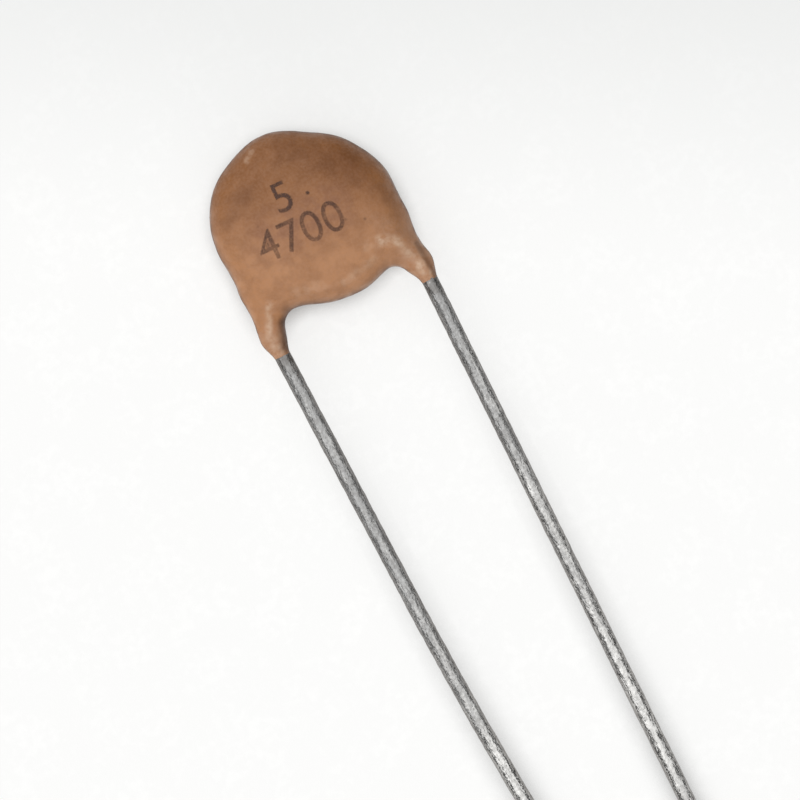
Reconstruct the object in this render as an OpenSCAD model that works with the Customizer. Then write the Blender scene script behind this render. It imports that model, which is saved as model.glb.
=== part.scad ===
// Ceramic disc capacitor with two radial leads, dip-coated in brown phenolic resin.
// A single ceramic disc is silvered on both faces, a tinned wire is soldered to each
// face, and the resin coat covers the disc and runs a little way down both wires.
// The pieces are drawn with the disc's centre at the origin, the leads towards -Y and
// the marked face towards +Z. Each node is then laid on the table as the part comes
// to rest: on the belly of its coat and on its two lead tips.

/* [Ceramic disc] */
// Diameter of the ceramic disc
ceramic_d = 4.4; // [4.2:0.1:4.6]
// Thickness of the ceramic disc
ceramic_t = 0.5; // [0.4:0.05:0.6]
// Break on the pressed disc's edges
ceramic_edge = 0.06; // [0.02:0.01:0.1]
// Bare ceramic between the silver and the disc's edge
silver_margin = 0.2; // [0.15:0.05:0.4]
// Thickness of each fired silver electrode
silver_t = 0.02; // [0.02:0.01:0.05]

/* [Leads] */
// Diameter of the tinned wire
wire_d = 0.5; // [0.4:0.05:0.6]
// Spacing of the two leads where they leave the coat
lead_pitch = 5; // [4.8:0.1:5.2]
// Length of each lead below the coat
lead_length = 25; // [15:1:30]
// Inward lean of the right lead, in degrees
right_lean = 1; // [0:0.5:2]
// Inward lean of the left lead above its bow, in degrees
left_lean = 0.5; // [0:0.5:2]
// Further inward lean of the left lead below its bow, in degrees
left_bow = 2.8; // [1:0.2:4]
// Distance from the disc's centre down to the middle of the left lead's bow
bow_drop = 15; // [12:1:17]
// Radius of the left lead's bow
bow_r = 120; // [60:10:150]
// Centreline radius of the bends inside the coat
bend_r = 0.6; // [0.5:0.1:0.8]

/* [Solder] */
// Width of each solder joint on the silver
solder_w = 1; // [0.9:0.05:1.1]
// Length of each solder joint between its round ends
solder_l = 1.7; // [1.4:0.1:1.9]
// Height of each solder joint up the wire
solder_h = 0.4; // [0.3:0.02:0.42]
// Solder left between the wire and the silver
solder_gap = 0.02; // [0.02:0.01:0.04]
// Thickness of the solder at the outer edge of its foot
solder_foot = 0.04; // [0.03:0.01:0.06]
// How far the wire's cut end stands out past the joint's centre
solder_setback = 0.3; // [0.2:0.05:0.4]

/* [Resin coat] */
// Diameter of the coated disc
coat_d = 5.64; // [5.5:0.02:5.8]
// Thickness at the middle of the coated disc
coat_t = 2.4; // [2.3:0.05:2.6]
// How much each face falls from its middle to the rim
coat_crown = 0.34; // [0.2:0.02:0.36]
// Radius of the rounded rim
rim_round = 0.8; // [0.7:0.02:0.84]
// Thickness of the resin on the wires, where it is thickest
sleeve_film = 0.12; // [0.08:0.01:0.16]
// Distance from the disc's centre to where the resin on the wires ends
coat_drop = 3.45; // [3.4:0.01:3.6]
// Length over which the resin on each wire thins out
sleeve_taper = 0.55; // [0.4:0.05:0.7]
// Reach of the menisci between the disc and the wires
meniscus = 1; // [0.7:0.05:1.1]

/* [Mesh] */
// Rows of facets from the belly of the coat to its top
coat_rows = 20; // [12:2:24]
// Stations along each side of a coated wire
sleeve_steps = 16; // [10:2:20]

/* [Hidden] */
$fn = 64;

LEFT = -1;
RIGHT = 1;

// The right wire lies on the front face and the left one on the rear face.
wire_r = wire_d / 2;
seat_z = ceramic_t / 2 + silver_t + solder_gap + wire_r;

// Where the formed end of each wire turns in, meets its face of the disc, and ends.
turn_in_y = -2.8;
right_landing = [1.95, -1.5];
left_landing = [-2.2, -1.5];
inner_end = [0.65, 1.35];

// A bent stretch is drawn a hair thinner than a straight one, so the straight closes over it.
bend_thinning = 0.0006;
bend_overlap = 0.02;

// Share of the way up to its landing over which a wire raises a ridge in the coat, the
// stations round the ridge's bend, and the reach over which it runs into the flank.
ridge_share = 0.75;
ridge_steps = 4;
flank_blend = 0.25;

// Where the resin's own way down each flank begins and ends.
right_flank = [[2.33, -1.5], [2.43, -2.8]];
left_flank = [[2.34, -1.5], [2.5, -2.8]];

// Where the resin on a wire has thinned to its end ring, and the ball that closes it.
end_film = 0.03;
end_ring_r = wire_r + end_film;
end_ball_y = -coat_drop + sqrt(end_ring_r ^ 2 - wire_r ^ 2);

// The dipped rim is not a true circle: each entry is a bearing in degrees, a height
// above or below the coated circle and a spread in degrees.
RIM_LUMPS = [
    [22, -0.08, 14], [58, -0.27, 26], [112, -0.07, 14], [150, 0.03, 25], [205, -0.03, 16],
    [246, -0.14, 26], [291, 0.1, 14], [352, 0.08, 20],
];

// Bearings between which the rim is met straight from the disc's centre, in degrees.
TOP_FAN = [-12, 192];
LOWER_FAN = [250, 290];
FAN_STEP = 5;
TIP_STEPS = 8;

// What bends the spine down each neck, and the inner aims from the disc to the notch.
spine_bow = [2.5, -1.6, 0];
notch_bow = [1.9, -2, 0];

// How far past its aim a ray may still meet the skin, and how often it is halved.
REACH_SHARE = 1.3;
REACH_SPARE = 0.25;
HALVINGS = 14;

// Trials that the pitch at rest is found in.
REST_TRIALS = 8;

// ---------------------------------------------------------------- vectors
function unit(v) = v / norm(v);
function mix(a, b, t) = a + (b - a) * t;
function bezier(a, b, c, t) = mix(mix(a, b, t), mix(b, c, t), t);
function clamp01(t) = min(max(t, 0), 1);
function flip_x(p, side) = [p.x * side, p.y, p.z];

// Placement with its Z along w, its X along u and its origin at p.
function placement(u, w, p) =
    let (v = cross(w, u))
    [[u.x, v.x, w.x, p.x], [u.y, v.y, w.y, p.y], [u.z, v.z, w.z, p.z], [0, 0, 0, 1]];

// Any unit vector square to w.
function square_to(w) = unit(cross(w, abs(w.z) < 0.9 ? [0, 0, 1] : [1, 0, 0]));

// ---------------------------------------------------------------- wires
// Corners of each wire from its tip to its inner end.
function lead_tip_y() = -coat_drop - lead_length;
function lean_x(y, lean) = lead_pitch / 2 - tan(lean) * (-coat_drop - y);
function turn_in(side) =
    [side * lean_x(turn_in_y, side == RIGHT ? right_lean : left_lean), turn_in_y, 0];
function landing(side) =
    side == RIGHT ? [each right_landing, seat_z] : [each left_landing, -seat_z];
function wire_end(side) = [side * inner_end.x, inner_end.y, side * seat_z];
function formed_end(side) = [turn_in(side), landing(side), wire_end(side)];
function right_corners() =
    concat([[lean_x(lead_tip_y(), right_lean), lead_tip_y(), 0]], formed_end(RIGHT));
function left_corners() =
    let (bow = [-lean_x(-bow_drop, left_lean), -bow_drop, 0])
    let (below = lead_tip_y() + bow_drop)
    let (tip = bow + [-tan(left_lean + left_bow) * below, below, 0])
    concat([tip, bow], formed_end(LEFT));

// The bend at corner i: how far it turns, and how far back from the corner it begins.
function bend_angle(path, i) =
    acos(unit(path[i] - path[i - 1]) * unit(path[i + 1] - path[i]));
function bend_trim(path, radii, i) =
    i == 0 || i == len(path) - 1 ? 0 : radii[i] * tan(bend_angle(path, i) / 2);

// Points round the bend at corner i.
function bend_points(path, radii, i, steps) =
    let (before = unit(path[i] - path[i - 1]), after = unit(path[i + 1] - path[i]))
    let (start = path[i] - before * bend_trim(path, radii, i))
    let (inward = cross(unit(cross(before, after)), before))
    [for (k = [0:steps]) let (a = bend_angle(path, i) * k / steps)
        start + radii[i] * (inward * (1 - cos(a)) + before * sin(a))];

// Round wire through the corners of path, with a true bend of radii[i] at corner i.
module formed_wire(path, radii) {
    last = len(path) - 1;
    for (i = [0:last - 1]) {
        along = unit(path[i + 1] - path[i]);
        lead_in = i == 0 ? 0 : bend_trim(path, radii, i) - bend_overlap;
        lead_out = i + 1 == last ? 0 : bend_trim(path, radii, i + 1) - bend_overlap;
        multmatrix(placement(square_to(along), along, path[i] + along * lead_in))
            cylinder(r = wire_r, h = norm(path[i + 1] - path[i]) - lead_in - lead_out);
    }
    for (i = [1:len(path) - 2]) {
        before = unit(path[i] - path[i - 1]);
        after = unit(path[i + 1] - path[i]);
        axis = unit(cross(before, after));
        start = path[i] - before * bend_trim(path, radii, i);
        inward = cross(axis, before);
        multmatrix(placement(-inward, axis, start + inward * radii[i]))
            rotate_extrude(angle = bend_angle(path, i))
                translate([radii[i], 0]) circle(r = wire_r - bend_thinning);
    }
}

// ---------------------------------------------------------------- resin coat
// Each gap function gives how far a point is outside a body: negative inside it.
function turn_between(a, b) = let (turn = abs(a - b) % 360) min(turn, 360 - turn);
function rim_lump(bearing, lump) =
    lump[1] * exp(-pow(turn_between(bearing, lump[0]) / lump[2], 2));
function rim_radius(bearing) =
    coat_d / 2 + [for (lump = RIM_LUMPS) 1] * [for (lump = RIM_LUMPS) rim_lump(bearing, lump)];
function face_height(share) = coat_t / 2 - coat_crown * share ^ 2;

function disc_gap(p) =
    let (out = norm([p.x, p.y]))
    let (rim = rim_radius(atan2(p.y, p.x)))
    let (past_rim = out - rim + rim_round)
    let (past_face = abs(p.z) - face_height(min(out / rim, 1)) + rim_round)
    norm([max(past_rim, 0), max(past_face, 0)]) + min(max(past_rim, past_face), 0) - rim_round;

// Distance from a point to the straight line between a and b.
function span_gap(p, a, b) =
    let (run = b - a)
    norm(p - a - run * clamp01((p - a) * run / (run * run)));
function sleeve_radius(y) =
    let (t = clamp01((y - end_ball_y) / sleeve_taper))
    mix(end_ring_r, wire_r + sleeve_film, t * (2 - t));
function smooth_min(a, b, reach) =
    let (near = max(reach - abs(a - b), 0) / reach)
    min(a, b) - near ^ 2 * reach / 4;

// Resin follows the wire from where it ends up the ridge that the wire raises, and also
// takes its own straighter way down the disc's flank.
function ridge_way(side) =
    let (corners = [[side * lead_pitch / 2, end_ball_y, 0], turn_in(side), landing(side)])
    [
        corners[0], each bend_points(corners, [0, bend_r, 0], 1, ridge_steps),
        mix(turn_in(side), landing(side), ridge_share),
    ];
function flank_way(side) =
    [for (p = side == RIGHT ? right_flank : left_flank) [side * p.x, p.y, 0]];
function way_gap(p, way) = min([for (i = [0:len(way) - 2]) span_gap(p, way[i], way[i + 1])]);
function sleeve_gap(p, ways) =
    smooth_min(way_gap(p, ways[0]), way_gap(p, ways[1]), flank_blend) - sleeve_radius(p.y);
function coated_ways(side) = [ridge_way(side), flank_way(side)];

function coat_gap(p, left, right) =
    smooth_min(
        smooth_min(disc_gap(p), sleeve_gap(p, left), meniscus),
        sleeve_gap(p, right), meniscus);

// Distance from an inner point to the skin, along direction, by halving.
function skin_reach(from, direction, near, far, left, right, n = HALVINGS) =
    n == 0 ? (near + far) / 2 :
    let (half = (near + far) / 2)
    coat_gap(from + direction * half, left, right) < 0
        ? skin_reach(from, direction, half, far, left, right, n - 1)
        : skin_reach(from, direction, near, half, left, right, n - 1);

// The skin is met by rays from a spine: the disc's centre, and a line from there down
// to the end of the resin on each wire. Each station is [spine number, start, aim].
function spine_number(side, i) = i == 0 ? 0 : side == LEFT ? i : sleeve_steps + i;
function spine_point(side, i) =
    flip_x(bezier([0, 0, 0], spine_bow, [lead_pitch / 2, end_ball_y, 0], i / sleeve_steps), side);
function on_circle(bearing) = coat_d / 2 * [cos(bearing), sin(bearing), 0];
function fan(bearings) = [
    for (a = [bearings[0]:FAN_STEP:bearings[1]]) [0, [0, 0, 0], on_circle(a)]
];
function outer_side(side, i) =
    let (sleeve = [lead_pitch / 2 + wire_r + sleeve_film, end_ball_y, 0])
    let (aim = mix(on_circle(TOP_FAN[0]), sleeve, i / sleeve_steps))
    [spine_number(side, i), spine_point(side, i), flip_x(aim, side)];
function inner_side(side, i) =
    let (sleeve = [lead_pitch / 2 - wire_r - sleeve_film, end_ball_y, 0])
    let (aim = bezier(on_circle(LOWER_FAN[1]), notch_bow, sleeve, i / sleeve_steps))
    [spine_number(side, i), spine_point(side, i), flip_x(aim, side)];
function tip(side, i) =
    let (start = spine_point(side, sleeve_steps))
    let (turn = 180 * i / TIP_STEPS)
    [spine_number(side, sleeve_steps), start,
        start + end_ring_r * [side * cos(turn), -sin(turn), 0]];
STATIONS = concat(
    fan(TOP_FAN),
    [for (i = [1:sleeve_steps]) outer_side(LEFT, i)],
    [for (i = [1:TIP_STEPS - 1]) tip(LEFT, i)],
    [for (i = [sleeve_steps:-1:1]) inner_side(LEFT, i)],
    fan(LOWER_FAN),
    [for (i = [1:sleeve_steps]) inner_side(RIGHT, i)],
    [for (i = [TIP_STEPS - 1:-1:1]) tip(RIGHT, i)],
    [for (i = [sleeve_steps:-1:1]) outer_side(RIGHT, i)]
);

// Skin point of one station in one row, for rows between the belly and the top.
function skin_point(station, row, height, left, right) =
    let (reach = norm(station[2] - station[1]))
    let (tilt = 180 * row / coat_rows - 90)
    let (aim = (station[2] - station[1]) * cos(tilt) + [0, 0, height * sin(tilt)])
    let (bound = norm(aim) * REACH_SHARE + REACH_SPARE)
    station[1] + unit(aim) * skin_reach(station[1], unit(aim), 0, bound, left, right);

// Two facets over the corners a b c d, split from a to c or from b to d.
function facets(a, b, c, d, split_at_a) =
    split_at_a ? [[a, b, c], [a, c, d]] : [[a, b, d], [b, c, d]];

// Facets between station s and the next one. Rows slant towards the neck's end, so each
// facet is split on its shorter diagonal, which depends on the half and the direction.
function strip(s, count, rows) =
    let (t = (s + 1) % count, belly = count * rows, top = belly + 2 * sleeve_steps + 1)
    let (seam_s = STATIONS[s][0], seam_t = STATIONS[t][0])
    let (outwards = seam_t > seam_s, shared = seam_s == seam_t)
    [
        each shared
            ? [[s * rows, t * rows, belly + seam_s]]
            : facets(s * rows, t * rows, belly + seam_t, belly + seam_s, outwards),
        for (r = [0:rows - 2])
            each facets(
                s * rows + r, s * rows + r + 1, t * rows + r + 1, t * rows + r,
                outwards == (r * 2 >= rows - 1)),
        each shared
            ? [[s * rows + rows - 1, top + seam_s, t * rows + rows - 1]]
            : facets(
                s * rows + rows - 1, top + seam_s, top + seam_t, t * rows + rows - 1, outwards),
    ];
function skin_faces(count, rows) = [for (s = [0:count - 1]) each strip(s, count, rows)];

// The dipped coat's outer skin as a closed solid.
module coat_skin() {
    left = coated_ways(LEFT);
    right = coated_ways(RIGHT);
    spine = concat(
        [spine_point(LEFT, 0)],
        [for (i = [1:sleeve_steps]) spine_point(LEFT, i)],
        [for (i = [1:sleeve_steps]) spine_point(RIGHT, i)]
    );
    tops = [for (p = spine) skin_reach(p, [0, 0, 1], 0, coat_t, left, right)];
    bellies = [for (p = spine) skin_reach(p, [0, 0, -1], 0, coat_t, left, right)];
    rows = coat_rows - 1;
    points = concat(
        [for (station = STATIONS) for (row = [1:rows])
            let (height = row * 2 > coat_rows ? tops[station[0]] : bellies[station[0]])
            skin_point(station, row, height, left, right)],
        [for (i = [0:len(spine) - 1]) spine[i] - [0, 0, bellies[i]]],
        [for (i = [0:len(spine) - 1]) spine[i] + [0, 0, tops[i]]]
    );
    polyhedron(points, skin_faces(len(STATIONS), rows), convexity = 6);
}

// ---------------------------------------------------------------- pieces
// Pressed disc of barium titanate ceramic.
module ceramic_disc() {
    r = ceramic_d / 2;
    color("tan")
        translate([0, 0, -ceramic_t / 2])
            rotate_extrude()
                polygon([
                    [0, 0], [r - ceramic_edge, 0], [r, ceramic_edge],
                    [r, ceramic_t - ceramic_edge], [r - ceramic_edge, ceramic_t], [0, ceramic_t],
                ]);
}

// Fired silver film on one face, side = RIGHT for the front.
module electrode(side) {
    color("gainsboro")
        translate([0, 0, side == RIGHT ? ceramic_t / 2 : -ceramic_t / 2 - silver_t])
            cylinder(r = ceramic_d / 2 - silver_margin, h = silver_t);
}

// Half of the joint's section: a foot on the silver and a hollow fillet up to the wire.
module solder_section() {
    difference() {
        square([solder_w / 2, solder_h]);
        translate([solder_w / 2, solder_h]) circle(r = solder_h - solder_foot);
    }
}

// Solder round one wire before the wire is taken out of it, with its foot at z = 0.
module solder_bead() {
    for (x = [0, -solder_l]) translate([x, 0, 0]) rotate_extrude() solder_section();
    rotate([90, 0, -90]) linear_extrude(solder_l) {
        solder_section();
        mirror([1, 0]) solder_section();
    }
}

// Solder bead on its electrode, along the seated stretch of one wire.
module seated_bead(side) {
    run = wire_end(side) - landing(side);
    end = wire_end(side) - unit(run) * solder_setback;
    translate([end.x, end.y, side * (ceramic_t / 2 + silver_t)])
        rotate([side == LEFT ? 180 : 0, 0, 0])
            rotate([0, 0, side * atan2(run.y, run.x)])
                solder_bead();
}

// Solder joint that holds one wire to its electrode.
module solder_joint(side) {
    color("silver")
        difference() {
            seated_bead(side);
            lead(side);
        }
}

// Tinned wire: its straight leg, and the formed end that lies on the disc's face.
module lead(side) {
    color("darkgray")
        if (side == RIGHT) formed_wire(right_corners(), [0, bend_r, bend_r, 0]);
        else formed_wire(left_corners(), [0, bow_r, bend_r, bend_r, 0]);
}

// Everything that the resin closes in.
module element() {
    ceramic_disc();
    for (side = [LEFT, RIGHT]) {
        electrode(side);
        seated_bead(side);
        lead(side);
    }
}

module resin_coat() {
    color("peru")
        difference() {
            coat_skin();
            element();
        }
}

// ---------------------------------------------------------------- rest
// Depth of the coat's belly below the disc's centre when the leads pitch down by a.
function belly_depth(a) =
    coat_t / 2 * cos(a) + (coat_d / 2 * sin(a)) ^ 2 / (4 * coat_crown * cos(a));
// Pitch at which the belly and the lead tips stand on one plane, by repeated trial.
function rest_pitch(a = 1, n = REST_TRIALS) =
    n == 0 ? a : rest_pitch(asin((belly_depth(a) - wire_r * cos(a)) / -lead_tip_y()), n - 1);

module at_rest() {
    pitch = rest_pitch();
    mid_y = (coat_d / 2 * cos(pitch) + lead_tip_y() * cos(pitch)) / 2;
    translate([0, -mid_y, belly_depth(pitch)]) rotate([pitch, 0, 0]) children();
}

at_rest() resin_coat();
at_rest() ceramic_disc();
at_rest() electrode(RIGHT);  // front_electrode
at_rest() electrode(LEFT);  // rear_electrode
at_rest() solder_joint(RIGHT);  // front_solder
at_rest() solder_joint(LEFT);  // rear_solder
at_rest() lead(RIGHT);  // right_lead
at_rest() lead(LEFT);  // left_lead
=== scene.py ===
"""Dresses a small dip-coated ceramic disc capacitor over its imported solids.

The frame holds every solid at its real place, in metres: the part lies at rest on the floor with its
disc at +Y and its two leads along -Y. The coat and the leads are refined copies of their solids, the
printed mark is new, and the pieces that the coat hides keep their solids and only get finishes.
"""

import logging
import math
from collections import Counter
from collections.abc import Callable, Iterator
from contextlib import contextmanager
from dataclasses import dataclass
from enum import Enum
from functools import cache

import bmesh
import bpy
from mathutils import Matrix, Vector
from mathutils.bvhtree import BVHTree
from mathutils.kdtree import KDTree


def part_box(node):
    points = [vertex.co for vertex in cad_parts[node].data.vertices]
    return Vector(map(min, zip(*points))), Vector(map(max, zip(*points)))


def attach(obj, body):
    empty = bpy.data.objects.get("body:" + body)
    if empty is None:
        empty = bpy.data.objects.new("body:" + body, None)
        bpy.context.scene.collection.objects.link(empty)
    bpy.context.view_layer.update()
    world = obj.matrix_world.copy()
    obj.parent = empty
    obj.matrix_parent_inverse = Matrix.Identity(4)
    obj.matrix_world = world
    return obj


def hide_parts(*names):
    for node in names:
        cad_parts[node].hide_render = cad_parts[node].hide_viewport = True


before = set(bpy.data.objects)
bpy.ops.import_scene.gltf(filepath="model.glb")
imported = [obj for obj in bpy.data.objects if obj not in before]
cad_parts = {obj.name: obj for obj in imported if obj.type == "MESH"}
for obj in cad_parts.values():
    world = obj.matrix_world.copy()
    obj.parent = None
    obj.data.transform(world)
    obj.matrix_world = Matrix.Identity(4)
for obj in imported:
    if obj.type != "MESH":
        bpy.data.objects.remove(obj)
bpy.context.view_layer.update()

MM = 0.001
PER_MM = 1 / MM
SEAM = 0.0001 * MM  # points closer than this become one
SLIVER = 0.001 * MM  # faces narrower than this go
ON_PLANE = 0.0001 * MM  # points closer than this to a cut lie on it
BODY = "root"
log = logging.getLogger("disc_capacitor")

Colour = tuple[float, float, float, float]
Feed = bpy.types.NodeSocket | float | tuple[float, ...]


class Slot(Enum):
    """The record's material slots for the new pieces; nothing in the script assigns them."""

    RESIN = "resin"
    WIRE = "tinned_wire"


class Side(Enum):
    """Which lead, as its node is named."""

    RIGHT = "right_lead"
    LEFT = "left_lead"


def tone(red: int, green: int, blue: int) -> Colour:
    """Turns a display colour into the linear one that a shader works in.

    Args:
        red: red, from 0 to 255.
        green: green, from 0 to 255.
        blue: blue, from 0 to 255.

    Returns:
        The linear colour, with an alpha of 1.
    """
    parts = [c / 255 for c in (red, green, blue)]
    linear = [c / 12.92 if c <= 0.04045 else ((c + 0.055) / 1.055) ** 2.4 for c in parts]
    return (*linear, 1.0)


# Meshes -------------------------------------------------------------------------------------------


def pick_alone(piece: bpy.types.Object) -> None:
    """Selects one piece and nothing else, and makes it the active one.

    Args:
        piece: the piece.
    """
    bpy.ops.object.select_all(action="DESELECT")
    piece.select_set(True)
    bpy.context.view_layer.objects.active = piece


@contextmanager
def editing(piece: bpy.types.Object) -> Iterator[bmesh.types.BMesh]:
    """Opens one piece in edit mode, alone, with nothing in it selected.

    Args:
        piece: the piece.

    Yields:
        Its edit mesh.
    """
    pick_alone(piece)
    bpy.ops.object.mode_set(mode="EDIT")
    bpy.ops.mesh.select_mode(type="VERT")
    bpy.ops.mesh.select_all(action="DESELECT")
    try:
        yield bmesh.from_edit_mesh(piece.data)
    finally:
        bpy.ops.object.mode_set(mode="OBJECT")


def select_faces(piece: bpy.types.Object, wanted: Callable[[bmesh.types.BMFace], bool]) -> None:
    """Selects the faces of a piece in edit mode that pass a test, and no others.

    Args:
        piece: the piece, open in edit mode.
        wanted: the test.
    """
    bpy.ops.mesh.select_mode(type="FACE")
    for face in bmesh.from_edit_mesh(piece.data).faces:
        face.select_set(wanted(face))
    bmesh.update_edit_mesh(piece.data)


def cut_across(point: Vector, normal: Vector) -> None:
    """Cuts the whole of the piece that is open in edit mode by a plane.

    Args:
        point: a point on the plane, in metres.
        normal: the plane's normal.
    """
    bpy.ops.mesh.select_all(action="SELECT")
    bpy.ops.mesh.bisect(plane_co=point, plane_no=normal, threshold=ON_PLANE)


def copy_of_node(node: str, name: str) -> bpy.types.Object:
    """Copies a CAD node's mesh into a new piece, closed up and with plain normals.

    Args:
        node: the CAD node.
        name: the new piece's name.

    Returns:
        The new piece, at the origin like its node.
    """
    piece = bpy.data.objects.new(name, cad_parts[node].data.copy())
    piece.data.name = name
    piece.data.materials.clear()
    bpy.context.scene.collection.objects.link(piece)
    with editing(piece):
        bpy.ops.mesh.select_all(action="SELECT")
        bpy.ops.mesh.remove_doubles(threshold=SEAM)
        bpy.ops.mesh.dissolve_degenerate(threshold=SLIVER)
        bpy.ops.mesh.customdata_custom_splitnormals_clear()
    return piece


def surface_of(nodes: tuple[str, ...]) -> list[BVHTree]:
    """Makes a search tree of each CAD node's surface.

    Args:
        nodes: the CAD nodes.

    Returns:
        One tree a node.
    """
    held = bpy.context.evaluated_depsgraph_get()
    return [BVHTree.FromObject(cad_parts[node], held) for node in nodes]


def gap_to(surfaces: list[BVHTree], point: Vector) -> float:
    """Measures how far a point is from the nearest of several surfaces.

    Args:
        surfaces: the surfaces' search trees.
        point: the point.

    Returns:
        The distance, in metres.
    """
    return min(tree.find_nearest(point)[3] for tree in surfaces)


@dataclass(frozen=True)
class Lumps:
    """A soft cloud pattern that moves part of a surface along its normals.

    Attributes:
        group: the vertex group that moves.
        size: the pattern's size, in metres.
        depth: how far apart its high and low places come to lie, in metres.
        middle: its level that stays where it is, from 0 to 1.
    """

    OCTAVES = 2

    group: str
    size: float
    depth: float
    middle: float

    def press_into(self, piece: bpy.types.Object) -> None:
        """Moves the surface.

        Args:
            piece: the piece.
        """
        name = f"{piece.name}_{self.group}_{self.size * PER_MM:.2f}"
        clouds = bpy.data.textures.new(name, type="CLOUDS")
        clouds.noise_scale = self.size
        clouds.noise_depth = self.OCTAVES
        push = piece.modifiers.new("lumps", "DISPLACE")
        push.texture = clouds
        push.texture_coords = "LOCAL"
        push.vertex_group = self.group
        push.strength = self.depth
        push.mid_level = self.middle
        pick_alone(piece)
        bpy.ops.object.modifier_apply(modifier=push.name)


def smooth_by_angle(piece: bpy.types.Object, degrees: float) -> None:
    """Shades a piece smooth, apart from its edges sharper than an angle.

    Args:
        piece: the piece.
        degrees: the angle.
    """
    pick_alone(piece)
    bpy.ops.object.shade_smooth_by_angle(angle=math.radians(degrees))


def report(piece: bpy.types.Object) -> None:
    """Logs a piece's name, faces and size.

    Args:
        piece: the piece.
    """
    size = piece.dimensions * PER_MM
    log.info("%s: %d faces, %.2f x %.2f x %.2f mm", piece.name, len(piece.data.polygons), *size)


# Node trees ---------------------------------------------------------------------------------------


class Wiring:
    """Adds nodes to one node tree and joins them.

    Attributes:
        tree: the node tree.
    """

    def __init__(self, tree: bpy.types.NodeTree) -> None:
        """Keeps the tree.

        Args:
            tree: the node tree.
        """
        self.tree = tree

    def add(self, kind: str, **choices: object) -> bpy.types.Node:
        """Adds a node.

        Args:
            kind: the node's type, without ShaderNode.
            choices: the node's own choices, by name.

        Returns:
            The node.
        """
        node = self.tree.nodes.new(f"ShaderNode{kind}")
        for name, choice in choices.items():
            setattr(node, name, choice)
        return node

    def feed(self, socket: bpy.types.NodeSocket, value: Feed) -> None:
        """Joins a socket to another one, or gives it a plain value.

        Args:
            socket: the socket that is fed.
            value: the output it is joined to, or its value.
        """
        if isinstance(value, bpy.types.NodeSocket):
            self.tree.links.new(value, socket)
        else:
            socket.default_value = value

    def maths(self, operation: str, *values: Feed, clamp: bool = True) -> bpy.types.NodeSocket:
        """Does a sum on values.

        Args:
            operation: the sum, such as MULTIPLY.
            values: what it is done on, in order.
            clamp: whether the result is kept between 0 and 1.

        Returns:
            The result.
        """
        node = self.add("Math", operation=operation, use_clamp=clamp)
        for socket, value in zip(node.inputs, values):
            self.feed(socket, value)
        return node.outputs[0]

    def times(self, first: Feed, second: Feed) -> bpy.types.NodeSocket:
        """Multiplies two values and keeps the result between 0 and 1."""
        return self.maths("MULTIPLY", first, second)

    def plus(self, first: Feed, second: Feed) -> bpy.types.NodeSocket:
        """Adds two values and keeps the result between 0 and 1."""
        return self.maths("ADD", first, second)

    def vectors(self, operation: str, *values: Feed) -> bpy.types.Node:
        """Does a sum on vectors.

        Args:
            operation: the sum, such as MULTIPLY.
            values: what it is done on, in order.

        Returns:
            Its node, whose output is Value where the result is a number, and Vector otherwise.
        """
        node = self.add("VectorMath", operation=operation)
        for socket, value in zip(node.inputs, values):
            self.feed(socket, value)
        return node

    def along(self, vector: Feed, way: tuple[float, float, float]) -> bpy.types.NodeSocket:
        """Measures how far a place lies along a direction.

        Args:
            vector: the place.
            way: the direction.

        Returns:
            The measure.
        """
        return self.vectors("DOT_PRODUCT", vector, way).outputs["Value"]

    def coordinate(self, vector: Feed, axis: str) -> bpy.types.NodeSocket:
        """Takes one coordinate out of a vector.

        Args:
            vector: the vector.
            axis: X, Y or Z.

        Returns:
            The coordinate.
        """
        parts = self.add("SeparateXYZ")
        self.feed(parts.inputs[0], vector)
        return parts.outputs[axis]

    def blend(self, factor: Feed, first: Feed, second: Feed) -> bpy.types.NodeSocket:
        """Mixes two colours.

        Args:
            factor: how much of the second one there is, from 0 to 1.
            first: the first colour.
            second: the second colour.

        Returns:
            The mixed colour.
        """
        node = self.add("Mix", data_type="RGBA", clamp_factor=True)
        # The node has sockets of one name for each data type: these are the ones for colours.
        self.feed(node.inputs[0], factor)
        self.feed(node.inputs[6], first)
        self.feed(node.inputs[7], second)
        return node.outputs[2]

    def ramp(
        self, value: Feed, source: tuple[Feed, Feed], target: tuple[Feed, Feed]
    ) -> bpy.types.NodeSocket:
        """Takes a value from one range to another, softly at both ends.

        Args:
            value: the value.
            source: the range it has.
            target: the range it gets.

        Returns:
            The new value.
        """
        node = self.add("MapRange", interpolation_type="SMOOTHSTEP")
        self.feed(node.inputs[0], value)
        for socket, limit in zip(node.inputs[1:5], (*source, *target)):
            self.feed(socket, limit)
        return node.outputs[0]

    def between(self, mask: Feed, low: Feed, high: Feed) -> bpy.types.NodeSocket:
        """Gives a mask another range than 0 to 1, softly at both ends.

        Args:
            mask: the mask.
            low: what it gives where it is 0.
            high: what it gives where it is 1.

        Returns:
            The value.
        """
        return self.ramp(mask, (0.0, 1.0), (low, high))

    def looked_at(self) -> bpy.types.NodeSocket:
        """Tells the rays that look, straight or through gloss or glass, from those that light.

        Returns:
            1 for a ray that looks, and 0 for one that lights.
        """
        ray = self.add("LightPath").outputs
        seen = self.plus(ray["Is Camera Ray"], ray["Is Glossy Ray"])
        return self.plus(seen, ray["Is Transmission Ray"])

    def group(self, tree: bpy.types.NodeTree, **values: Feed) -> bpy.types.NodeSocket:
        """Adds a node group.

        Args:
            tree: the group.
            values: what its inputs are fed, by name.

        Returns:
            The group's first output.
        """
        node = self.add("Group", node_tree=tree)
        for name, value in values.items():
            self.feed(node.inputs[name.replace("_", " ")], value)
        return node.outputs[0]


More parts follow.
